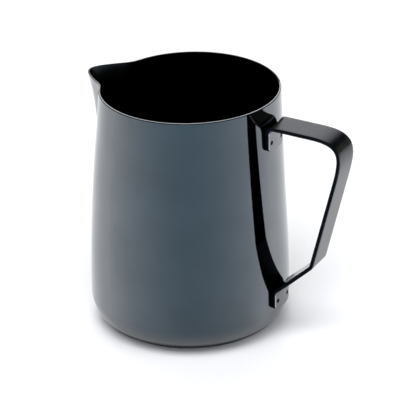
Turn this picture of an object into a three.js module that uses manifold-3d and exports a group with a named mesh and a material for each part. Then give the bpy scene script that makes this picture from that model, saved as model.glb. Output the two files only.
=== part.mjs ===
// Milk frothing pitcher: a drawn steel shell with a pressed spout, and a bent strap handle welded to it.
// Millimetres, +Z up. The origin is the shell's axis at the surface that the pitcher stands on.
// The handle is on the +X side and the spout points to -X.
import * as THREE from 'three';
import { mergeVertices } from 'three/addons/utils/BufferGeometryUtils.js';
import Module from 'manifold-3d';

const wasm = await Module();
wasm.setup();

// ---- Driving dimensions ----

const CLEARANCE = 0.3; // between neighbouring pieces

// Shell: a vertical wall at the belly that leans in to a narrower mouth.
const HEIGHT = 110;
const SHEET = 0.8;
const BELLY_RADIUS = 44.2;
const MOUTH_RADIUS = 40.45;
const CORNER_RADIUS = 13.5; // between the base and the wall
const WALL_LOW_PULL = 27; // how far the wall curve stays upright above the corner
const WALL_HIGH_PULL = 60; // how far the wall curve runs straight below the mouth
const WALL_HIGH_LEAN = 2.15; // how much wider the wall is at the end of that run
const FOOT_INNER_RADIUS = 28;
const PANEL_RADIUS = 26; // raised panel inside the foot ring
const PANEL_RISE = 0.6;

// Spout: a V pressed out of the wall, with the wall drawn in beside it.
const SPOUT_REACH = 48.8; // from the axis to the tip
const SPOUT_DEPTH = 90; // from the rim to where its keel fades out
const SPOUT_FADE = 2.55; // how fast the keel falls back
const SPOUT_FLANK = 0.68; // slope of the flanks
const SPOUT_NOSE = 0.126; // rounding of the nose, radians
const SPOUT_BLEND = 2; // rounding where the flanks meet the wall
const SPOUT_DROP = 0.68; // the tip sits this much below the rim
const SPOUT_DROP_ANGLE = 0.64; // half width of the lowered stretch of rim, radians
const SPOUT_DROP_DEPTH = 10;
const WAIST = 2.75; // how far the wall is drawn in beside the spout
const WAIST_DEPTH = 31.3;
const WAIST_ANGLE = 1.88; // where the drawn-in stretch ends, radians from the spout

// Handle: a flat strip, bent. Its corners are given on the strip's middle line.
const STRAP_WIDTH = 13.6;
const STRAP_THICKNESS = 1.7;
const ARM_HEIGHT = 100.85; // upper arm at the shell
const GRIP_TOP = new THREE.Vector2(77.7, 99.9);
const GRIP_BOTTOM = new THREE.Vector2(62.6, 39.55);
const LOWER_ARM_HEIGHT = 23.2; // lower arm at the shell
const UPPER_FLANGE_END = 89.5;
const LOWER_FLANGE_END = 14.4;
const UPPER_FLANGE_BEND = 2.5; // bend radii
const LOWER_FLANGE_BEND = 3;
const GRIP_BOTTOM_BEND = 3.5;
const GRIP_TOP_REACH_IN = 16; // the large upper bend starts this far before its corner
const GRIP_TOP_REACH_OUT = 23; // and ends this far after it
const GRIP_TOP_PULL_IN = 1; // share of each reach that the bend runs straight for
const GRIP_TOP_PULL_OUT = 0.69;

// Welds: one slug in each of the two holes of each flange.
const WELD_SPREAD = 4.4; // from the handle's middle to each weld
const WELD_ABOVE_END = 4.1; // from the flange's end to its welds
const WELD_HOLE_RADIUS = 1.0;
const WELD_SLUG_RADIUS = 0.7;
const WELD_PIT_DEPTH = 0.6; // the slug ends this much below the flange's face

// Facets
const AROUND = 96;
const WALL_STEPS = 16;
const CORNER_STEPS = 6;
const STRAP_STEPS = 6;

// ---- Shared helpers ----

const UP = new THREE.Vector2(0, 1);
const DOWN = new THREE.Vector2(0, -1);

// The wall's outline, from the top of the base corner to the mouth, as (radius, height).
const wallCurve = new THREE.CubicBezierCurve(
  new THREE.Vector2(BELLY_RADIUS, CORNER_RADIUS),
  new THREE.Vector2(BELLY_RADIUS, CORNER_RADIUS + WALL_LOW_PULL),
  new THREE.Vector2(MOUTH_RADIUS + WALL_HIGH_LEAN, HEIGHT - WALL_HIGH_PULL),
  new THREE.Vector2(MOUTH_RADIUS, HEIGHT),
);

// Radius of the wall, without its spout, at a height on it.
function wallRadius(height) {
  let low = 0;
  let high = 1;
  for (let i = 0; i < 30; i += 1) {
    const middle = (low + high) / 2;
    if (wallCurve.getPoint(middle).y < height) low = middle;
    else high = middle;
  }
  return wallCurve.getPoint(low).x;
}

// How far the spout moves the wall outwards at an angle from the spout and a height.
function spoutOffset(angle, height) {
  const below = Math.max(HEIGHT - height, 0);
  const fade = Math.max(1 - below / SPOUT_DEPTH, 0);
  const wall = wallRadius(Math.max(height, CORNER_RADIUS));
  const waist = WAIST * Math.exp(-((below / WAIST_DEPTH) ** 2));
  const share = Math.min(Math.abs(angle) / WAIST_ANGLE, 1);
  const drawnIn = wall - waist * (1 - share * share * (3 - 2 * share));
  if (Math.cos(angle) <= 0 || fade === 0) return drawnIn - wall;
  const keel = wall - waist + (SPOUT_REACH - MOUTH_RADIUS + WAIST) * fade ** SPOUT_FADE;
  const rounded = Math.hypot(angle, SPOUT_NOSE);
  const atNose = SPOUT_FLANK * Math.cos(SPOUT_NOSE) + Math.sin(SPOUT_NOSE);
  const flank = (keel * atNose) / (SPOUT_FLANK * Math.cos(rounded) + Math.sin(rounded));
  const blend = SPOUT_BLEND * fade;
  const near = Math.max(blend - Math.abs(flank - drawnIn), 0) / blend;
  return Math.max(flank, drawnIn) + (near * near * blend) / 4 - wall;
}

// A closed mesh with shared corners and no empty faces.
function weldedMesh(geometry) {
  const bare = geometry.clone();
  bare.deleteAttribute('normal');
  bare.deleteAttribute('uv');
  const merged = mergeVertices(bare, 1e-4);
  const corners = merged.index.array;
  const kept = [];
  for (let i = 0; i < corners.length; i += 3) {
    const [a, b, c] = [corners[i], corners[i + 1], corners[i + 2]];
    if (a !== b && b !== c && c !== a) kept.push(a, b, c);
  }
  merged.setIndex(kept);
  merged.computeVertexNormals();
  return merged;
}

function toSolid(geometry) {
  const closed = weldedMesh(geometry);
  return new wasm.Manifold(new wasm.Mesh({
    numProp: 3,
    vertProperties: new Float32Array(closed.attributes.position.array),
    triVerts: new Uint32Array(closed.index.array),
  }));
}

function fromSolid(solid) {
  const mesh = solid.getMesh();
  const geometry = new THREE.BufferGeometry();
  geometry.setAttribute('position', new THREE.BufferAttribute(mesh.vertProperties, 3));
  geometry.setIndex(new THREE.BufferAttribute(mesh.triVerts, 1));
  geometry.computeVertexNormals();
  return geometry;
}

// Points of a quarter circle about a centre, from one angle to another.
function arcPoints(centreX, centreY, radius, from, to, steps) {
  return new THREE.EllipseCurve(centreX, centreY, radius, radius, from, to, to < from).getPoints(steps);
}

// ---- Shell ----

function shellProfile() {
  const cornerX = BELLY_RADIUS - CORNER_RADIUS;
  const quarter = Math.PI / 2;
  const outerWall = wallCurve.getPoints(WALL_STEPS);
  const innerWall = outerWall.map((p) => new THREE.Vector2(p.x - SHEET, p.y)).reverse();
  const innerCorner = CORNER_RADIUS - SHEET;
  return [
    new THREE.Vector2(0, PANEL_RISE),
    new THREE.Vector2(PANEL_RADIUS, PANEL_RISE),
    new THREE.Vector2(FOOT_INNER_RADIUS, 0),
    ...arcPoints(cornerX, CORNER_RADIUS, CORNER_RADIUS, -quarter, 0, CORNER_STEPS).slice(0, -1),
    ...outerWall,
    ...innerWall,
    ...arcPoints(cornerX, CORNER_RADIUS, innerCorner, 0, -quarter, CORNER_STEPS).slice(1),
    new THREE.Vector2(FOOT_INNER_RADIUS, SHEET),
    new THREE.Vector2(PANEL_RADIUS, SHEET + PANEL_RISE),
    new THREE.Vector2(0, SHEET + PANEL_RISE),
  ];
}

function shellGeometry() {
  const geometry = new THREE.LatheGeometry(shellProfile(), AROUND);
  geometry.rotateX(Math.PI / 2);
  const points = geometry.attributes.position;
  for (let i = 0; i < points.count; i += 1) {
    const radius = Math.hypot(points.getX(i), points.getY(i));
    const height = points.getZ(i);
    const even = Math.atan2(points.getY(i), -points.getX(i));
    const angle = even - 0.5 * Math.sin(even); // closer facets at the spout
    const wallShare = height < CORNER_RADIUS ? 0 : 1;
    const moved = radius + wallShare * spoutOffset(angle, height);
    const drop = SPOUT_DROP * Math.exp(-((angle / SPOUT_DROP_ANGLE) ** 2));
    const dropShare = Math.max(1 - (HEIGHT - height) / SPOUT_DROP_DEPTH, 0);
    points.setXYZ(i, -moved * Math.cos(angle), moved * Math.sin(angle), height - drop * dropShare);
  }
  return weldedMesh(geometry);
}

// ---- Handle ----

const upperFlangeX = wallRadius(UPPER_FLANGE_END + WELD_ABOVE_END) + CLEARANCE + STRAP_THICKNESS / 2;
const lowerFlangeX = wallRadius(LOWER_FLANGE_END + WELD_ABOVE_END) + CLEARANCE + STRAP_THICKNESS / 2;

// An arc that rounds the corner between two straight runs.
function bend(before, corner, after, radius) {
  const arriving = corner.clone().sub(before).normalize();
  const leaving = after.clone().sub(corner).normalize();
  const turn = Math.acos(arriving.dot(leaving));
  const reach = radius * Math.tan(turn / 2);
  const pull = (4 / 3) * Math.tan(turn / 4) * radius;
  const start = corner.clone().addScaledVector(arriving, -reach);
  const end = corner.clone().addScaledVector(leaving, reach);
  return new THREE.CubicBezierCurve(
    start,
    start.clone().addScaledVector(arriving, pull),
    end.clone().addScaledVector(leaving, -pull),
    end,
  );
}

// The strip's middle line, from the end of the upper flange to the end of the lower one.
function strapLine() {
  const upperEnd = new THREE.Vector2(upperFlangeX, UPPER_FLANGE_END);
  const upperCorner = new THREE.Vector2(upperFlangeX, ARM_HEIGHT);
  const lowerCorner = new THREE.Vector2(lowerFlangeX, LOWER_ARM_HEIGHT);
  const lowerEnd = new THREE.Vector2(lowerFlangeX, LOWER_FLANGE_END);
  const armWay = GRIP_TOP.clone().sub(upperCorner).normalize();
  const gripWay = GRIP_BOTTOM.clone().sub(GRIP_TOP).normalize();
  const gripStart = GRIP_TOP.clone().addScaledVector(armWay, -GRIP_TOP_REACH_IN);
  const gripEnd = GRIP_TOP.clone().addScaledVector(gripWay, GRIP_TOP_REACH_OUT);
  const gripBend = new THREE.CubicBezierCurve(
    gripStart,
    gripStart.clone().addScaledVector(armWay, GRIP_TOP_PULL_IN * GRIP_TOP_REACH_IN),
    gripEnd.clone().addScaledVector(gripWay, -GRIP_TOP_PULL_OUT * GRIP_TOP_REACH_OUT),
    gripEnd,
  );
  return [
    { at: upperEnd, way: UP },
    ...alongCurve(bend(upperEnd, upperCorner, GRIP_TOP, UPPER_FLANGE_BEND), 5),
    ...alongCurve(gripBend, 14),
    ...alongCurve(bend(GRIP_TOP, GRIP_BOTTOM, lowerCorner, GRIP_BOTTOM_BEND), 4),
    ...alongCurve(bend(GRIP_BOTTOM, lowerCorner, lowerEnd, LOWER_FLANGE_BEND), 4),
    { at: lowerEnd, way: DOWN },
  ];
}

function alongCurve(curve, steps) {
  const stations = [];
  for (let i = 0; i <= steps; i += 1) {
    stations.push({ at: curve.getPoint(i / steps), way: curve.getTangent(i / steps) });
  }
  return stations;
}

// How strongly the strip is dished to the shell at a point: fully on the flanges, not at all past the bends.
function dishShare(x) {
  return THREE.MathUtils.clamp(1 - (x - BELLY_RADIUS - STRAP_THICKNESS - CLEARANCE) / 6, 0, 1);
}

function strapGeometry() {
  const outside = [];
  const inside = [];
  for (const { at, way } of strapLine()) {
    const side = new THREE.Vector2(-way.y, way.x).multiplyScalar(STRAP_THICKNESS / 2);
    outside.push(at.clone().add(side));
    inside.push(at.clone().sub(side));
  }
  const outline = new THREE.Shape([...outside, ...inside.reverse()]);
  const geometry = new THREE.ExtrudeGeometry(outline, {
    depth: STRAP_WIDTH,
    steps: STRAP_STEPS,
    bevelEnabled: false,
  });
  geometry.translate(0, 0, -STRAP_WIDTH / 2);
  geometry.rotateX(Math.PI / 2);
  const points = geometry.attributes.position;
  for (let i = 0; i < points.count; i += 1) {
    const x = points.getX(i);
    const y = points.getY(i);
    const radius = x - dishShare(x) * (x - Math.sqrt(x * x - y * y));
    points.setX(i, radius);
  }
  return geometry;
}

// A rod along the radius through a weld, from one distance to another.
function radialRod(radius, from, to, angle, height) {
  const rod = new THREE.CylinderGeometry(radius, radius, to - from, 20);
  rod.rotateZ(Math.PI / 2);
  rod.translate((from + to) / 2, 0, height);
  rod.rotateZ(angle);
  return rod;
}

// ---- Assembly ----

const coatedShell = new THREE.MeshStandardMaterial({ color: 0x2b3238, roughness: 0.18, metalness: 0.7 });
const coatedStrap = new THREE.MeshStandardMaterial({ color: 0x33373c, roughness: 0.38, metalness: 0.7 });
const weldMetal = new THREE.MeshStandardMaterial({ color: 0x141619, roughness: 0.5, metalness: 0.6 });

const pitcher = new THREE.Group();

function addPiece(name, geometry, material) {
  const mesh = new THREE.Mesh(geometry, material.clone());
  mesh.name = name;
  pitcher.add(mesh);
  return mesh;
}

addPiece('body_shell', shellGeometry(), coatedShell);

let strap = toSolid(strapGeometry());
const flanges = [
  { name: 'upper', middle: upperFlangeX, end: UPPER_FLANGE_END },
  { name: 'lower', middle: lowerFlangeX, end: LOWER_FLANGE_END },
];
const sides = [
  { name: 'near', sign: -1 },
  { name: 'far', sign: 1 },
];
for (const flange of flanges) {
  const height = flange.end + WELD_ABOVE_END;
  const shellSide = flange.middle - STRAP_THICKNESS / 2;
  const faceSide = flange.middle + STRAP_THICKNESS / 2;
  for (const side of sides) {
    const angle = side.sign * Math.asin(WELD_SPREAD / flange.middle);
    const drill = radialRod(WELD_HOLE_RADIUS, shellSide - 2, faceSide + 2, angle, height);
    strap = strap.subtract(toSolid(drill));
    const slug = radialRod(WELD_SLUG_RADIUS, shellSide, faceSide - WELD_PIT_DEPTH, 0, 0);
    const piece = addPiece(`weld_${flange.name}_${side.name}`, weldedMesh(slug), weldMetal);
    piece.rotation.z = angle;
    piece.position.z = height;
  }
}
addPiece('handle_strap', fromSolid(strap), coatedStrap);

export default pitcher;
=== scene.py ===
"""Milk frothing pitcher: glossy blue-black steel jug with a brushed strap handle, on a pale floor."""
import math

import bmesh
import bpy
import numpy as np
from mathutils import Matrix, Quaternion, Vector


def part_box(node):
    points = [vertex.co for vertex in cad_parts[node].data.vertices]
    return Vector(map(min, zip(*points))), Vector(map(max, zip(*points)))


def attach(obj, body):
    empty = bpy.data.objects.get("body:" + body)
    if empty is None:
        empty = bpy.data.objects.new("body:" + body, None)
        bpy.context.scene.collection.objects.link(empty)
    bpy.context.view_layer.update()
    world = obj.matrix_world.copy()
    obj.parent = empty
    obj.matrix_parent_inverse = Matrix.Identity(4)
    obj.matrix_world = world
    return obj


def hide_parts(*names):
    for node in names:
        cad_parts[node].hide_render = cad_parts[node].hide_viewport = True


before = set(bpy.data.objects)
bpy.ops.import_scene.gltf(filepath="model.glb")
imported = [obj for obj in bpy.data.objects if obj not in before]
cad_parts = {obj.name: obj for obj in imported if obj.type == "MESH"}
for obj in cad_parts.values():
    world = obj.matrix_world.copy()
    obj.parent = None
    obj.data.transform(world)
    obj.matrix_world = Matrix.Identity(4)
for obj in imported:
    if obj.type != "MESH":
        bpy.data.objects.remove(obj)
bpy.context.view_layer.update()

MM = 0.001

# ---- Sizes, from the frame ----

shell_low, shell_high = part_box("body_shell")
strap_low, strap_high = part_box("handle_strap")

HEIGHT = shell_high.z / MM
BELLY_RADIUS = shell_high.y / MM
SPOUT_REACH = -shell_low.x / MM
STRAP_WIDTH = (strap_high.y - strap_low.y) / MM
UPPER_HOLES = (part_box("weld_upper_near")[0].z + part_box("weld_upper_near")[1].z) / 2 / MM
LOWER_HOLES = (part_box("weld_lower_near")[0].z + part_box("weld_lower_near")[1].z) / 2 / MM

# The same driving dimensions as the design, in millimetres.
SHEET = 0.8
MOUTH_RADIUS = 40.45
CORNER_RADIUS = 13.5
WALL_LOW_PULL = 27
WALL_HIGH_PULL = 60
WALL_HIGH_LEAN = 2.15
FOOT_INNER_RADIUS = 28
PANEL_RADIUS = 26
PANEL_RISE = 0.6
SPOUT_DEPTH = 90
SPOUT_FADE = 2.55
SPOUT_FLANK = 0.68
SPOUT_NOSE = 0.126
SPOUT_BLEND = 2
SPOUT_DROP = 0.68
SPOUT_DROP_ANGLE = 0.64
SPOUT_DROP_DEPTH = 10
WAIST = 2.75
WAIST_DEPTH = 31.3
WAIST_ANGLE = 1.88
STRAP_THICKNESS = 1.7
CLEARANCE = 0.3
ARM_HEIGHT = 100.85
GRIP_TOP = np.array([77.7, 99.9])
GRIP_BOTTOM = np.array([62.6, 39.55])
LOWER_ARM_HEIGHT = 23.2
FLANGE_BELOW_HOLES = 4.1
GRIP_TOP_REACH_IN = 16
GRIP_TOP_REACH_OUT = 23
GRIP_TOP_PULL_IN = 1
GRIP_TOP_PULL_OUT = 0.69
GRIP_BOTTOM_BEND = 3.5
UPPER_BEND = 2.5
LOWER_BEND = 3
DISH_REACH = 6
WELD_SPREAD = 4.4
WELD_HOLE_RADIUS = 1.0
WELD_PIT_DEPTH = 0.6

# Fine detail that only the visual model has.
RIM_OUTER_ROUND = 0.36
RIM_INNER_ROUND = 0.08
STRAP_EDGE_ROUND = 0.22
FLANGE_CORNER = 2.2
FLANGE_BOW = 0.25
FLANGE_BOW_LENGTH = 4
FLANGE_STEPS = 24
SHELL_STEPS = 320
WELD_RING = 0.18
WELD_HOLLOW = 0.25
WELD_RIPPLE = 0.02
DRILL_REACH = 3
RIM_SIDE_END = 45  # degrees up the rim's outer rounding: painted near-black below this, as painted shade
RIM_TOP_START = 52  # and ground above this
RIM_SUPPORT = 0.04  # gap from the rim's roundings to the rings that hold them crisp

# Where the finish changes, in metres.
FOOT_SHADOW_LINE = (0.0046, 0.0062)  # height of the painted shadow line around the foot
FOOT_SHADE = (0.005, 0.0145)  # height over which the painted shade above that line fades upwards
LIP_SHADE = (-0.042, -0.02)  # along X: the rim darkens towards the lip
PAINTED_BACK_RIM_SHADE = (0.0115, 0.0145)  # along Y: past this line the rim is painted nearly black, as painted shade
BACK_RIM_SLANT = 0.25  # how far that line leans, in Y for each X
PAINTED_GRIP_SHADE = (0.042, 0.06)  # along the strip: painted shade darkens the strip past the upper arm


# ---- Node helpers ----


def new_material(name):
    material = bpy.data.materials.new(name)
    material.use_nodes = True
    nodes = material.node_tree.nodes
    nodes.clear()
    output = nodes.new("ShaderNodeOutputMaterial")
    shader = nodes.new("ShaderNodeBsdfPrincipled")
    material.node_tree.links.new(shader.outputs["BSDF"], output.inputs["Surface"])
    return material, shader


def add_node(tree, kind, values=None, **settings):
    """A node with its settings, its input values by name and the links to its inputs."""
    node = tree.nodes.new(kind)
    for key, value in settings.items():
        setattr(node, key, value)
    for key, value in (values or {}).items():
        if isinstance(value, bpy.types.NodeSocket):
            tree.links.new(value, node.inputs[key])
        else:
            node.inputs[key].default_value = value
    return node


def noise(tree, vector, scale, detail=4.0, roughness=0.5):
    values = {"Vector": vector, "Scale": scale, "Detail": detail, "Roughness": roughness}
    return add_node(tree, "ShaderNodeTexNoise", values).outputs["Fac"]


def stretched(tree, vector, scale):
    return add_node(tree, "ShaderNodeMapping", {"Vector": vector, "Scale": scale}).outputs["Vector"]


def remap(tree, value, from_low, from_high, to_low, to_high):
    values = {"Value": value, "From Min": from_low, "From Max": from_high}
    values.update({"To Min": to_low, "To Max": to_high})
    return add_node(tree, "ShaderNodeMapRange", values).outputs["Result"]


def math_node(tree, operation, first, second):
    return add_node(tree, "ShaderNodeMath", {0: first, 1: second}, operation=operation).outputs[0]


def mix_colour(tree, factor, first, second, blend="MIX"):
    values = {"Factor": factor, 6: first, 7: second}
    return add_node(tree, "ShaderNodeMix", values, data_type="RGBA", blend_type=blend).outputs[2]


def bump(tree, height, distance, strength, normal=None):
    values = {"Height": height, "Distance": distance, "Strength": strength}
    if normal is not None:
        values["Normal"] = normal
    return add_node(tree, "ShaderNodeBump", values).outputs["Normal"]


def colour(red, green, blue):
    return (red, green, blue, 1.0)


# ---- Materials ----


def coated_steel(name, facing_colour, edge_colour, gloss, painted_foot_shade=False):
    """Deep gloss coating: its look is nearly all reflection, more neutral towards grazing."""
    material, shader = new_material(name)
    tree = material.node_tree
    place = tree.nodes.new("ShaderNodeTexCoord").outputs["Object"]
    facing = add_node(tree, "ShaderNodeLayerWeight", {"Blend": 0.5}).outputs["Facing"]
    turn = remap(tree, facing, 0.05, 0.5, 0.0, 1.0)
    mottle_and_foot_shade = remap(tree, noise(tree, place, 60.0, 3.0), 0.3, 0.7, 0.94, 1.06)
    # The foot option paints a shadow line around the foot, in colour and in metallic, and painted shade
    # above it that fades upwards; the random mottle carries both.
    if painted_foot_shade:
        up = add_node(tree, "ShaderNodeSeparateXYZ", {"Vector": place}).outputs["Z"]
        line = remap(tree, up, *FOOT_SHADOW_LINE, 0.12, 1.0)
        foot = math_node(tree, "MULTIPLY", remap(tree, up, *FOOT_SHADE, 0.52, 1.0), line)
        mottle_and_foot_shade = math_node(tree, "MULTIPLY", mottle_and_foot_shade, foot)
    base = mix_colour(tree, turn, facing_colour, edge_colour)
    tint = add_node(tree, "ShaderNodeCombineColor", {"Red": mottle_and_foot_shade, "Green": mottle_and_foot_shade, "Blue": mottle_and_foot_shade})
    varied = mix_colour(tree, 1.0, base, tint.outputs["Color"], "MULTIPLY")
    tree.links.new(varied, shader.inputs["Base Color"])
    shader.inputs["Specular IOR Level"].default_value = 0.0
    shader.inputs["Metallic"].default_value = 1.0
    if painted_foot_shade:
        tree.links.new(line, shader.inputs["Metallic"])
    smear = noise(tree, stretched(tree, place, (18.0, 18.0, 60.0)), 1.0, 5.0, 0.6)
    fine = noise(tree, place, 2400.0, 2.0)
    patch = remap(tree, smear, 0.35, 0.75, gloss, gloss + 0.035)
    grain = remap(tree, fine, 0.3, 0.7, -0.015, 0.015)
    tree.links.new(math_node(tree, "ADD", patch, grain), shader.inputs["Roughness"])
    peel = noise(tree, place, 900.0, 2.0, 0.4)
    tree.links.new(bump(tree, peel, 0.00001, 0.25), shader.inputs["Normal"])
    return material


def ground_rim():
    """The trimmed rim: fine grinding shows through, except at the back, where painted shade makes it
    nearly black.
    """
    material, shader = new_material("rim_ground_edge")
    tree = material.node_tree
    place = tree.nodes.new("ShaderNodeTexCoord").outputs["Object"]
    lines = noise(tree, stretched(tree, place, (40.0, 40.0, 9000.0)), 1.0, 3.0)
    speck = noise(tree, place, 1600.0, 3.0)
    wear_and_highlight = remap(tree, speck, 0.35, 0.7, 0.0, 1.0)
    base = mix_colour(tree, wear_and_highlight, colour(0.27, 0.28, 0.293), colour(0.36, 0.372, 0.388))
    parts = add_node(tree, "ShaderNodeSeparateXYZ", {"Vector": place})
    slant = math_node(tree, "MULTIPLY", parts.outputs["X"], BACK_RIM_SLANT)
    back = math_node(tree, "SUBTRACT", parts.outputs["Y"], slant)
    # The rim darkens towards the lip.
    lip = remap(tree, parts.outputs["X"], *LIP_SHADE, 0.45, 0.0)
    base = mix_colour(tree, lip, base, colour(0.03, 0.03, 0.033))
    # Painted shade: past the slanted back line the rim goes nearly black.
    back_rim_shade = remap(tree, back, *PAINTED_BACK_RIM_SHADE, 0.0, 1.0)
    base = mix_colour(tree, back_rim_shade, base, colour(0.006, 0.007, 0.008))
    tree.links.new(base, shader.inputs["Base Color"])
    shader.inputs["Metallic"].default_value = 1.0
    tree.links.new(remap(tree, lines, 0.3, 0.7, 0.16, 0.3), shader.inputs["Roughness"])
    tree.links.new(bump(tree, lines, 0.00001, 0.2), shader.inputs["Normal"])
    return material


def brushed_strap(name, low_colour, high_colour, smoothness, hair, border_highlight=None):
    """Hairline grain along the strip under a thin dark coating; painted shade darkens it past the upper
    arm, and a painted highlight may lighten the borders.
    """
    material, shader = new_material(name)
    tree = material.node_tree
    place = tree.nodes.new("ShaderNodeTexCoord").outputs["UV"]
    hairs = noise(tree, stretched(tree, place, (30.0, 5200.0, 1.0)), 1.0, 4.0, 0.65)
    long_hairs = noise(tree, stretched(tree, place, (8.0, 1700.0, 1.0)), 1.0, 3.0, 0.5)
    fine = math_node(tree, "MULTIPLY", hairs, 0.65)
    both = math_node(tree, "ADD", fine, math_node(tree, "MULTIPLY", long_hairs, 0.35))
    base = mix_colour(tree, remap(tree, both, 0.32, 0.68, 0.0, 1.0), low_colour, high_colour)
    strip = add_node(tree, "ShaderNodeSeparateXYZ", {"Vector": place})
    # Painted shade: the strip darkens past the upper arm.
    grip_shade_mix = remap(tree, strip.outputs["X"], *PAINTED_GRIP_SHADE, 0.0, 0.2)
    base = mix_colour(tree, grip_shade_mix, base, colour(0.0, 0.0, 0.0))
    # Painted highlight: at its borders the strip lightens towards the border colour.
    if border_highlight is not None:
        from_middle = math_node(tree, "ABSOLUTE", strip.outputs["Y"], 0.0)
        wear_and_highlight = remap(tree, from_middle, STRAP_WIDTH * 0.43 * MM, STRAP_WIDTH * 0.48 * MM, 0.0, 1.0)
        base = mix_colour(tree, wear_and_highlight, base, border_highlight)
    tree.links.new(base, shader.inputs["Base Color"])
    shader.inputs["Metallic"].default_value = 1.0
    tree.links.new(remap(tree, both, 0.3, 0.7, smoothness, smoothness + 0.12), shader.inputs["Roughness"])
    tree.links.new(bump(tree, both, 0.000012, hair), shader.inputs["Normal"])
    return material


def weld_metal():
    """Dull scaled weld metal at the bottom of a pit."""
    material, shader = new_material("weld_pit")
    tree = material.node_tree
    place = tree.nodes.new("ShaderNodeTexCoord").outputs["Object"]
    scale = noise(tree, place, 3500.0, 4.0, 0.7)
    base = mix_colour(tree, scale, colour(0.004, 0.004, 0.005), colour(0.03, 0.03, 0.033))
    tree.links.new(base, shader.inputs["Base Color"])
    shader.inputs["Metallic"].default_value = 0.8
    tree.links.new(remap(tree, scale, 0.3, 0.7, 0.5, 0.75), shader.inputs["Roughness"])
    tree.links.new(bump(tree, scale, 0.00008, 0.8), shader.inputs["Normal"])
    return material


# The outside takes the painted shadow line and painted shade at the foot.
COAT_OUTSIDE = coated_steel(
    "coat_outside", colour(0.031, 0.0505, 0.0655), colour(0.16, 0.172, 0.184), 0.03, painted_foot_shade=True
)
COAT_INSIDE = coated_steel("coat_inside", colour(0.03, 0.04, 0.046), colour(0.08, 0.09, 0.095), 0.16)
RIM_EDGE = ground_rim()
# Painted shade: the lower part of the rim's outer rounding is nearly black, drawing a dark line under the
# rim.
RIM_SIDE_SHADE = coated_steel("rim_side_painted_shade", colour(0.004, 0.005, 0.006), colour(0.012, 0.013, 0.015), 0.12)
STRAP_FACE = brushed_strap(
    "strap_face", colour(0.048, 0.05, 0.055), colour(0.102, 0.105, 0.113), smoothness=0.18, hair=0.5
)
# Painted light: the flanges' outer faces are a lighter copy of the strap steel.
STRAP_FLANGE_LIT = brushed_strap(
    "strap_flange_painted_light",
    colour(0.15, 0.155, 0.165),
    colour(0.25, 0.255, 0.27),
    smoothness=0.2,
    hair=0.4,
    border_highlight=colour(0.4, 0.41, 0.43),
)
# Painted shade: the strap's side edges and ends, and the side facing the shell, are near-black copies of
# the strap steel.
STRAP_EDGE_SHADE = brushed_strap(
    "strap_edge_painted_shade", colour(0.002, 0.003, 0.005), colour(0.008, 0.01, 0.015), smoothness=0.22, hair=0.3
)
STRAP_BACK_SHADE = brushed_strap(
    "strap_back_painted_shade", colour(0.008, 0.009, 0.012), colour(0.016, 0.018, 0.022), smoothness=0.06, hair=0.1
)
WELD_PIT = weld_metal()


# ---- Shell ----

OUTSIDE, GROUND, INSIDE, RIM_PAINTED_SHADE = range(4)  # the shell's material slots


def bezier(points, steps):
    """Points and tangents along a cubic curve."""
    p0, p1, p2, p3 = (np.array(p, float) for p in points)
    t = np.linspace(0, 1, steps)[:, None]
    at = (1 - t) ** 3 * p0 + 3 * (1 - t) ** 2 * t * p1 + 3 * (1 - t) * t**2 * p2 + t**3 * p3
    way = 3 * (1 - t) ** 2 * (p1 - p0) + 6 * (1 - t) * t * (p2 - p1) + 3 * t**2 * (p3 - p2)
    return at, way / np.linalg.norm(way, axis=1)[:, None]


WALL_CURVE = bezier(
    [
        (BELLY_RADIUS, CORNER_RADIUS),
        (BELLY_RADIUS, CORNER_RADIUS + WALL_LOW_PULL),
        (MOUTH_RADIUS + WALL_HIGH_LEAN, HEIGHT - WALL_HIGH_PULL),
        (MOUTH_RADIUS, HEIGHT),
    ],
    400,
)[0]


def wall_radius(height):
    return np.interp(height, WALL_CURVE[:, 1], WALL_CURVE[:, 0])


def spout_offset(angle, height):
    """How far the spout moves the wall outwards, at an angle from the spout and a height."""
    below = np.maximum(HEIGHT - height, 0)
    fade = np.maximum(1 - below / SPOUT_DEPTH, 0)
    wall = wall_radius(np.maximum(height, CORNER_RADIUS))
    waist = WAIST * np.exp(-((below / WAIST_DEPTH) ** 2))
    facing = np.cos(angle)
    share = np.minimum(np.abs(angle) / WAIST_ANGLE, 1)
    drawn_in = wall - waist * (1 - share * share * (3 - 2 * share))
    keel = wall - waist + (SPOUT_REACH - MOUTH_RADIUS + WAIST) * fade**SPOUT_FADE
    rounded = np.hypot(angle, SPOUT_NOSE)
    at_nose = SPOUT_FLANK * math.cos(SPOUT_NOSE) + math.sin(SPOUT_NOSE)
    flank = keel * at_nose / np.maximum(SPOUT_FLANK * np.cos(rounded) + np.sin(rounded), 0.2)
    blend = SPOUT_BLEND * fade + 1e-9
    near = np.maximum(blend - np.abs(flank - drawn_in), 0) / blend
    pressed = np.maximum(flank, drawn_in) + near * near * blend / 4
    return np.where((facing > 0) & (fade > 0), pressed, drawn_in) - wall


def arc(centre, radius, start, end, steps):
    """Points of an arc, with angles in degrees from +X."""
    angles = np.radians(np.linspace(start, end, steps))
    return np.stack([centre[0] + radius * np.cos(angles), centre[1] + radius * np.sin(angles)], 1)


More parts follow.
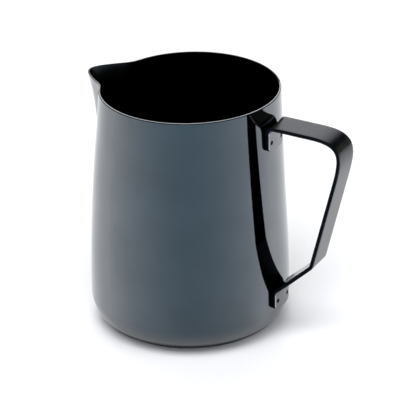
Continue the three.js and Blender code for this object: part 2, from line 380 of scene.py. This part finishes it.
def shell_profile():
    """(radius, height) points from the underside's middle, over the rim and down the inside."""
    corner = (BELLY_RADIUS - CORNER_RADIUS, CORNER_RADIUS)
    outer = WALL_CURVE[::4]
    outer = outer[outer[:, 1] < HEIGHT - RIM_OUTER_ROUND - 0.1]
    below_rim = np.array([[MOUTH_RADIUS, HEIGHT - RIM_OUTER_ROUND - RIM_SUPPORT]])
    below_rim_inside = np.array([[MOUTH_RADIUS - SHEET, HEIGHT - RIM_INNER_ROUND - RIM_SUPPORT]])
    out_centre = (MOUTH_RADIUS - RIM_OUTER_ROUND, HEIGHT - RIM_OUTER_ROUND)
    in_centre = (MOUTH_RADIUS - SHEET + RIM_INNER_ROUND, HEIGHT - RIM_INNER_ROUND)
    rim_side = arc(out_centre, RIM_OUTER_ROUND, 0, RIM_SIDE_END, 4)
    rim_out = arc(out_centre, RIM_OUTER_ROUND, RIM_TOP_START, 90, 4)
    rim_in = arc(in_centre, RIM_INNER_ROUND, 90, 180, 5)
    inner = outer[::-1] - np.array([SHEET, 0])
    step = np.linspace(0, 1, 9)[:, None]
    ramp = step * step * (3 - 2 * step)
    radii = PANEL_RADIUS + (FOOT_INNER_RADIUS - PANEL_RADIUS) * step
    under = np.hstack([radii, PANEL_RISE * (1 - ramp)])
    return [
        np.array([[0.0, PANEL_RISE], [8.0, PANEL_RISE], [16.0, PANEL_RISE]]),
        under,
        arc(corner, CORNER_RADIUS, -90, 0, 25)[:-1],
        np.vstack([outer, below_rim]),
        rim_side,
        rim_out,
        rim_in,
        np.vstack([below_rim_inside, inner]),
        arc(corner, CORNER_RADIUS - SHEET, 0, -90, 25)[1:],
        under[::-1] + np.array([0, SHEET]),
        np.array([[16.0, PANEL_RISE + SHEET], [8.0, PANEL_RISE + SHEET], [0.0, PANEL_RISE + SHEET]]),
    ]


def build_shell():
    runs = shell_profile()
    material_of_run = [OUTSIDE] * 4 + [RIM_PAINTED_SHADE] + [GROUND] * 2 + [INSIDE] * 4
    profile = np.vstack(runs)
    slots = np.concatenate([[slot] * len(run) for run, slot in zip(runs, material_of_run)])
    even = np.linspace(-math.pi, math.pi, SHELL_STEPS, endpoint=False)
    angles = even - 0.5 * np.sin(even)
    rings = []
    mesh_builder = bmesh.new()
    for radius, height in profile:
        if radius == 0:
            rings.append([mesh_builder.verts.new((0, 0, height * MM))])
            continue
        offset = spout_offset(angles, height) if height >= CORNER_RADIUS else 0.0
        moved = radius + offset
        share = max(1 - (HEIGHT - height) / SPOUT_DROP_DEPTH, 0)
        level = height - SPOUT_DROP * np.exp(-((angles / SPOUT_DROP_ANGLE) ** 2)) * share
        ring = np.stack([-moved * np.cos(angles), moved * np.sin(angles), level + 0 * angles], 1) * MM
        rings.append([mesh_builder.verts.new(point) for point in ring])
    for row, (low, high) in enumerate(zip(rings, rings[1:])):
        for i in range(SHELL_STEPS):
            j = (i + 1) % SHELL_STEPS
            if len(low) == 1:
                corners = (low[0], high[j], high[i])
            elif len(high) == 1:
                corners = (low[i], low[j], high[0])
            else:
                corners = (low[i], low[j], high[j], high[i])
            face = mesh_builder.faces.new(corners)
            face.material_index = INSIDE if slots[row + 1] == INSIDE else int(slots[row])
            face.smooth = True
    bmesh.ops.recalc_face_normals(mesh_builder, faces=mesh_builder.faces)
    return finish_mesh("shell_skin", mesh_builder, [COAT_OUTSIDE, RIM_EDGE, COAT_INSIDE, RIM_SIDE_SHADE])


def finish_mesh(name, mesh_builder, materials):
    mesh = bpy.data.meshes.new(name)
    mesh_builder.to_mesh(mesh)
    mesh_builder.free()
    for material in materials:
        mesh.materials.append(material)
    piece = bpy.data.objects.new(name, mesh)
    bpy.context.scene.collection.objects.link(piece)
    return piece


# ---- Handle ----

EDGE, BACK, FLANGE = 1, 2, 3  # the strap's material slots, where the outer face keeps slot 0; edge and back hold near-black painted-shade copies of the strap steel, flange a lighter painted-light copy


def unit(vector):
    return vector / np.linalg.norm(vector)


def bend(before, corner, after, radius, steps):
    """An arc that rounds a corner of the strip's middle line."""
    arriving = unit(corner - before)
    leaving = unit(after - corner)
    turn = math.acos(float(arriving @ leaving))
    reach = radius * math.tan(turn / 2)
    pull = 4 / 3 * math.tan(turn / 4) * radius
    start = corner - arriving * reach
    end = corner + leaving * reach
    return bezier([start, start + arriving * pull, end - leaving * pull, end], steps)


def straight(start, end, steps):
    way = unit(end - start)
    at = start + (end - start) * np.linspace(0, 1, steps)[:, None]
    return at, np.repeat(way[None], steps, 0)


def strap_line():
    """The strip's middle line as points and tangents, from the upper flange's end to the lower one's."""
    upper_x = float(wall_radius(UPPER_HOLES)) + CLEARANCE + STRAP_THICKNESS / 2
    lower_x = float(wall_radius(LOWER_HOLES)) + CLEARANCE + STRAP_THICKNESS / 2
    upper_end = np.array([upper_x, UPPER_HOLES - FLANGE_BELOW_HOLES])
    upper_corner = np.array([upper_x, ARM_HEIGHT])
    lower_corner = np.array([lower_x, LOWER_ARM_HEIGHT])
    lower_end = np.array([lower_x, LOWER_HOLES - FLANGE_BELOW_HOLES])
    arm_way = unit(GRIP_TOP - upper_corner)
    grip_way = unit(GRIP_BOTTOM - GRIP_TOP)
    grip_start = GRIP_TOP - arm_way * GRIP_TOP_REACH_IN
    grip_end = GRIP_TOP + grip_way * GRIP_TOP_REACH_OUT
    grip_bend = bezier(
        [
            grip_start,
            grip_start + arm_way * GRIP_TOP_PULL_IN * GRIP_TOP_REACH_IN,
            grip_end - grip_way * GRIP_TOP_PULL_OUT * GRIP_TOP_REACH_OUT,
            grip_end,
        ],
        48,
    )
    upper_bend = bend(upper_end, upper_corner, GRIP_TOP, UPPER_BEND, 16)
    elbow = bend(GRIP_TOP, GRIP_BOTTOM, lower_corner, GRIP_BOTTOM_BEND, 12)
    lower_bend = bend(GRIP_BOTTOM, lower_corner, lower_end, LOWER_BEND, 12)
    pieces = [
        straight(upper_end, upper_bend[0][0], FLANGE_STEPS),
        upper_bend,
        straight(upper_bend[0][-1], grip_start, 10),
        grip_bend,
        straight(grip_end, elbow[0][0], 16),
        elbow,
        straight(elbow[0][-1], lower_bend[0][0], 10),
        lower_bend,
        straight(lower_bend[0][-1], lower_end, FLANGE_STEPS),
    ]
    points = [pieces[0][0]] + [piece[0][1:] for piece in pieces[1:]]
    ways = [pieces[0][1]] + [piece[1][1:] for piece in pieces[1:]]
    return np.vstack(points), np.vstack(ways)


def dished(x, y):
    """The strip's distance from the axis plane where it is dished to the shell."""
    share = np.clip(1 - (x - BELLY_RADIUS - STRAP_THICKNESS - CLEARANCE) / DISH_REACH, 0, 1)
    return x - share * (x - math.sqrt(max(x * x - y * y, 0)))


def strap_section(half_width):
    """The strip's rounded section as (across, out) points, anticlockwise."""
    half = STRAP_THICKNESS / 2
    r = STRAP_EDGE_ROUND
    corners = [(1, 1), (-1, 1), (-1, -1), (1, -1)]
    points = []
    for quarter, (sx, sy) in enumerate(corners):
        centre = (sx * (half_width - r), sy * (half - r))
        points.extend(arc(centre, r, 90 * quarter, 90 * quarter + 90, 5))
        if quarter in (0, 2):
            start = sx * (half_width - r)
            for share in np.linspace(0, 1, 10)[1:-1]:
                points.append(np.array([start * (1 - 2 * share), sy * half]))
    return np.array(points)


def build_strap():
    at, way = strap_line()
    out = np.stack([-way[:, 1], way[:, 0]], 1)
    along = np.concatenate([[0], np.cumsum(np.linalg.norm(np.diff(at, axis=0), axis=1))])
    total = along[-1]
    mesh_builder = bmesh.new()
    uv_layer = mesh_builder.loops.layers.uv.new("strip")
    rings = []
    for point, side, tangent, s in zip(at, out, way, along):
        end = min(s, total - s)
        inset = FLANGE_CORNER - math.sqrt(max(FLANGE_CORNER**2 - max(FLANGE_CORNER - end, 0) ** 2, 0))
        section = strap_section(STRAP_WIDTH / 2 - inset)
        ring = []
        bow = FLANGE_BOW * max(1 - end / FLANGE_BOW_LENGTH, 0) * (1 if s < total / 2 else -1)
        for across, height in section:
            x, z = point + side * height + tangent * bow * (2 * across / STRAP_WIDTH) ** 2
            vertex = mesh_builder.verts.new((dished(x, across) * MM, across * MM, z * MM))
            ring.append((vertex, (s * MM, across * MM)))
        rings.append(ring)
    count = len(rings[0])
    for low, high in zip(rings, rings[1:]):
        for i in range(count):
            j = (i + 1) % count
            corners = [low[i], low[j], high[j], high[i]]
            face = mesh_builder.faces.new([corner[0] for corner in corners])
            for loop, corner in zip(face.loops, corners):
                loop[uv_layer].uv = corner[1]
            face.smooth = True
    for ring in (rings[0], rings[-1]):
        mesh_builder.faces.new([corner[0] for corner in ring])
    bmesh.ops.recalc_face_normals(mesh_builder, faces=mesh_builder.faces)
    return finish_mesh("strap_handle", mesh_builder, [STRAP_FACE, STRAP_EDGE_SHADE, STRAP_BACK_SHADE, STRAP_FLANGE_LIT])


def mark_strap_sides(piece):
    """Side edges and ends take the near-black painted-shade edge copy, the side that faces the shell
    takes the painted-shade back copy, and the flanges' outer faces take the lighter painted-light flange
    copy.
    """
    middle, way = strap_line()
    out = np.stack([-way[:, 1], way[:, 0]], 1)
    for polygon in piece.data.polygons:
        centre = np.array([polygon.center.x, polygon.center.z]) / MM
        nearest = int(np.argmin(((middle - centre) ** 2).sum(axis=1)))
        facing_out = polygon.normal.x * out[nearest, 0] + polygon.normal.z * out[nearest, 1]
        on_upper = nearest < FLANGE_STEPS
        on_lower = nearest >= len(middle) - FLANGE_STEPS
        if abs(polygon.normal.y) > 0.75 or abs(facing_out) < 0.5:
            polygon.material_index = EDGE
        elif on_upper or on_lower:
            polygon.material_index = FLANGE if polygon.normal.x > 0 else BACK
        elif facing_out < 0:
            polygon.material_index = BACK


def radial_frame(flange_x, height, sign):
    """The matrix of a weld: its local X points out along the radius."""
    angle = sign * math.asin(WELD_SPREAD / flange_x)
    return Matrix.Translation((0, 0, height * MM)) @ Matrix.Rotation(angle, 4, "Z")


def rod(name, matrix, radius, start, end):
    """A rod along local X, used to drill."""
    mesh_builder = bmesh.new()
    sizes = {"radius1": radius, "radius2": radius, "depth": end - start}
    bmesh.ops.create_cone(mesh_builder, cap_ends=True, segments=40, **sizes)
    turn = Matrix.Rotation(math.pi / 2, 4, "Y")
    shift = Matrix.Translation(((start + end) / 2, 0, 0))
    bmesh.ops.transform(mesh_builder, matrix=matrix @ shift @ turn, verts=mesh_builder.verts)
    return finish_mesh(name, mesh_builder, [STRAP_EDGE_SHADE])


def weld_slug(name, matrix, outer):
    """A weld slug: an irregular dish with a raised ring, filling the hole below the flange's face."""
    mesh_builder = bmesh.new()
    rings = []
    rows = 10
    around = 36
    rng = np.random.default_rng(7 + len(name))
    ripple = rng.uniform(-1, 1, 4)
    for row in range(rows + 1):
        share = row / rows
        radius = WELD_HOLE_RADIUS * share
        ring = []
        for i in range(around if row else 1):
            angle = 2 * math.pi * i / around
            wave = sum(ripple[k] * math.cos((k + 2) * angle + k) for k in range(4)) * WELD_RIPPLE * share
            bowl = WELD_RING * math.sin(math.pi * share) - WELD_HOLLOW * (1 - share**2)
            dish = bowl - WELD_PIT_DEPTH + wave
            across = radius * MM * math.cos(angle)
            up = radius * MM * math.sin(angle)
            ring.append(mesh_builder.verts.new(matrix @ Vector((outer + dish * MM, across, up))))
        rings.append(ring)
    back = []
    for i in range(around):
        angle = 2 * math.pi * i / around
        depth = outer - (STRAP_THICKNESS + CLEARANCE * 0.5) * MM
        across = WELD_HOLE_RADIUS * MM * math.cos(angle)
        up = WELD_HOLE_RADIUS * MM * math.sin(angle)
        back.append(mesh_builder.verts.new(matrix @ Vector((depth, across, up))))
    rings.append(back)
    for low, high in zip(rings, rings[1:]):
        for i in range(around):
            j = (i + 1) % around
            if len(low) == 1:
                mesh_builder.faces.new((low[0], high[i], high[j]))
            else:
                mesh_builder.faces.new((low[i], high[i], high[j], low[j]))
    mesh_builder.faces.new(back)
    bmesh.ops.recalc_face_normals(mesh_builder, faces=mesh_builder.faces)
    for face in mesh_builder.faces:
        face.smooth = True
    return finish_mesh(name, mesh_builder, [WELD_PIT])


def apply_modifiers(piece):
    graph = bpy.context.evaluated_depsgraph_get()
    baked = bpy.data.meshes.new_from_object(piece.evaluated_get(graph))
    piece.modifiers.clear()
    piece.data = baked


shell = build_shell()
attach(shell, "root")
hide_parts("body_shell")

strap = build_strap()
drills = []
for flange_name, height in (("upper", UPPER_HOLES), ("lower", LOWER_HOLES)):
    flange_x = float(wall_radius(height)) + CLEARANCE + STRAP_THICKNESS / 2
    outer = (flange_x + STRAP_THICKNESS / 2) * MM
    for side_name, sign in (("near", -1), ("far", 1)):
        matrix = radial_frame(flange_x, height, sign)
        label = f"{flange_name}_{side_name}"
        start, end = outer - DRILL_REACH * MM, outer + DRILL_REACH * MM
        drills.append(rod("drill_" + label, matrix, WELD_HOLE_RADIUS * MM, start, end))
        weld = weld_slug("weld_pit_" + label, matrix, outer)
        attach(weld, "root")
        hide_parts("weld_" + label)
for drill in drills:
    cut = strap.modifiers.new("hole", "BOOLEAN")
    cut.operation = "DIFFERENCE"
    cut.solver = "EXACT"
    cut.object = drill
apply_modifiers(strap)
for drill in drills:
    bpy.data.objects.remove(drill, do_unlink=True)
mark_strap_sides(strap)
strap.data.set_sharp_from_angle(angle=math.radians(40))
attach(strap, "root")
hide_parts("handle_strap")


# ---- Floor ----


def build_floor():
    material, shader = new_material("floor_paper")
    tree = material.node_tree
    place = tree.nodes.new("ShaderNodeTexCoord").outputs["Object"]
    fibre = noise(tree, place, 300.0, 4.0)
    base = mix_colour(tree, fibre, colour(0.87, 0.875, 0.885), colour(0.89, 0.895, 0.9))
    tree.links.new(base, shader.inputs["Base Color"])
    shader.inputs["Roughness"].default_value = 0.7
    shader.inputs["Specular IOR Level"].default_value = 0.2
    mesh_builder = bmesh.new()
    bmesh.ops.create_grid(mesh_builder, x_segments=8, y_segments=8, size=3.0)
    floor = finish_mesh("floor", mesh_builder, [material])
    floor.location.z = -0.00002


build_floor()


# ---- Camera ----

CAMERA_DISTANCE = 1.0
CAMERA_AZIMUTH = math.radians(28.7)
CAMERA_ELEVATION = math.radians(25.9)
CAMERA_AIM = Vector((4.23, 2.29, 55.45)) * MM
CAMERA_ROLL = math.radians(-0.833)
CAMERA_LENS = 204.5


def build_camera():
    data = bpy.data.cameras.new("camera")
    data.lens = CAMERA_LENS
    data.sensor_width = 36.0
    data.clip_start = 0.05
    data.clip_end = 20.0
    camera = bpy.data.objects.new("camera", data)
    flat = math.cos(CAMERA_ELEVATION)
    up = math.sin(CAMERA_ELEVATION)
    away = Vector((math.sin(CAMERA_AZIMUTH) * flat, -math.cos(CAMERA_AZIMUTH) * flat, up))
    camera.location = Vector((0, 0, HEIGHT / 2 * MM)) + away * CAMERA_DISTANCE
    look = (CAMERA_AIM - camera.location).to_track_quat("-Z", "Y")
    camera.rotation_mode = "QUATERNION"
    camera.rotation_quaternion = look @ Quaternion((0, 0, 1), CAMERA_ROLL)
    bpy.context.scene.collection.objects.link(camera)
    bpy.context.scene.camera = camera


build_camera()


# ---- Light ----


def area_light(name, location, target, size, power, tint=(1.0, 1.0, 1.0)):
    data = bpy.data.lights.new(name, "AREA")
    data.shape = "RECTANGLE"
    data.size, data.size_y = size
    data.energy = power
    data.color = tint
    light = bpy.data.objects.new(name, data)
    light.location = location
    light.visible_glossy = False
    light.visible_camera = False
    light.rotation_mode = "QUATERNION"
    light.rotation_quaternion = (Vector(target) - Vector(location)).to_track_quat("-Z", "Y")
    bpy.context.scene.collection.objects.link(light)


def build_world():
    """A soft studio: a white backdrop behind the pitcher, dimmer beside it and above the camera."""
    world = bpy.data.worlds.new("studio")
    world.use_nodes = True
    tree = world.node_tree
    tree.nodes.clear()
    direction = tree.nodes.new("ShaderNodeTexCoord").outputs["Generated"]
    flatten = {0: direction, 1: (1.0, 1.0, 0.0)}
    level = add_node(tree, "ShaderNodeVectorMath", flatten, operation="MULTIPLY")
    heading = add_node(tree, "ShaderNodeVectorMath", {0: level.outputs["Vector"]}, operation="NORMALIZE")
    away = (-math.sin(CAMERA_AZIMUTH), math.cos(CAMERA_AZIMUTH), 0.0)
    both = {0: heading.outputs["Vector"], 1: away}
    ahead = add_node(tree, "ShaderNodeVectorMath", both, operation="DOT_PRODUCT").outputs["Value"]
    height = add_node(tree, "ShaderNodeSeparateXYZ", {"Vector": direction}).outputs["Z"]
    backdrop = remap(tree, ahead, 0.84, 0.99, 0.0, 1.0)
    beside = remap(tree, ahead, -0.3, 0.3, 0.0, 1.0)
    upper = remap(tree, height, 0.34, 0.42, 0.0, 1.0)
    room = mix_colour(tree, upper, colour(0.2, 0.21, 0.17), colour(0.02, 0.023, 0.04))
    above_front = remap(tree, height, 0.1, 0.25, 0.0, 1.0)
    front = mix_colour(tree, above_front, colour(0.7, 0.71, 0.73), colour(0.015, 0.015, 0.017))
    dim = mix_colour(tree, beside, front, room)
    shade = mix_colour(tree, backdrop, dim, colour(1.3, 1.3, 1.32))
    seen = add_node(tree, "ShaderNodeLightPath").outputs["Is Camera Ray"]
    shown = mix_colour(tree, seen, shade, colour(1.0, 1.0, 1.0))
    background = add_node(tree, "ShaderNodeBackground", {"Color": shown, "Strength": 1.0})
    output = tree.nodes.new("ShaderNodeOutputWorld")
    tree.links.new(background.outputs["Background"], output.inputs["Surface"])
    bpy.context.scene.world = world


build_world()
area_light("key_softbox", (0.05, -1.05, 1.95), (0, 0, 0), (1.5, 1.5), 40)
area_light("low_softbox", (0.5, -1.0, 0.36), (0, 0, 0), (1.4, 0.3), 8, (0.87, 0.9, 1.0))
area_light("fill_softbox", (1.2, -0.35, 1.8), (0, 0, 0), (2.0, 2.0), 20)
area_light("back_softbox", (-0.9, 1.0, 1.8), (0, 0, 0), (2.0, 2.0), 16)
bpy.context.scene.view_settings.view_transform = "Standard"
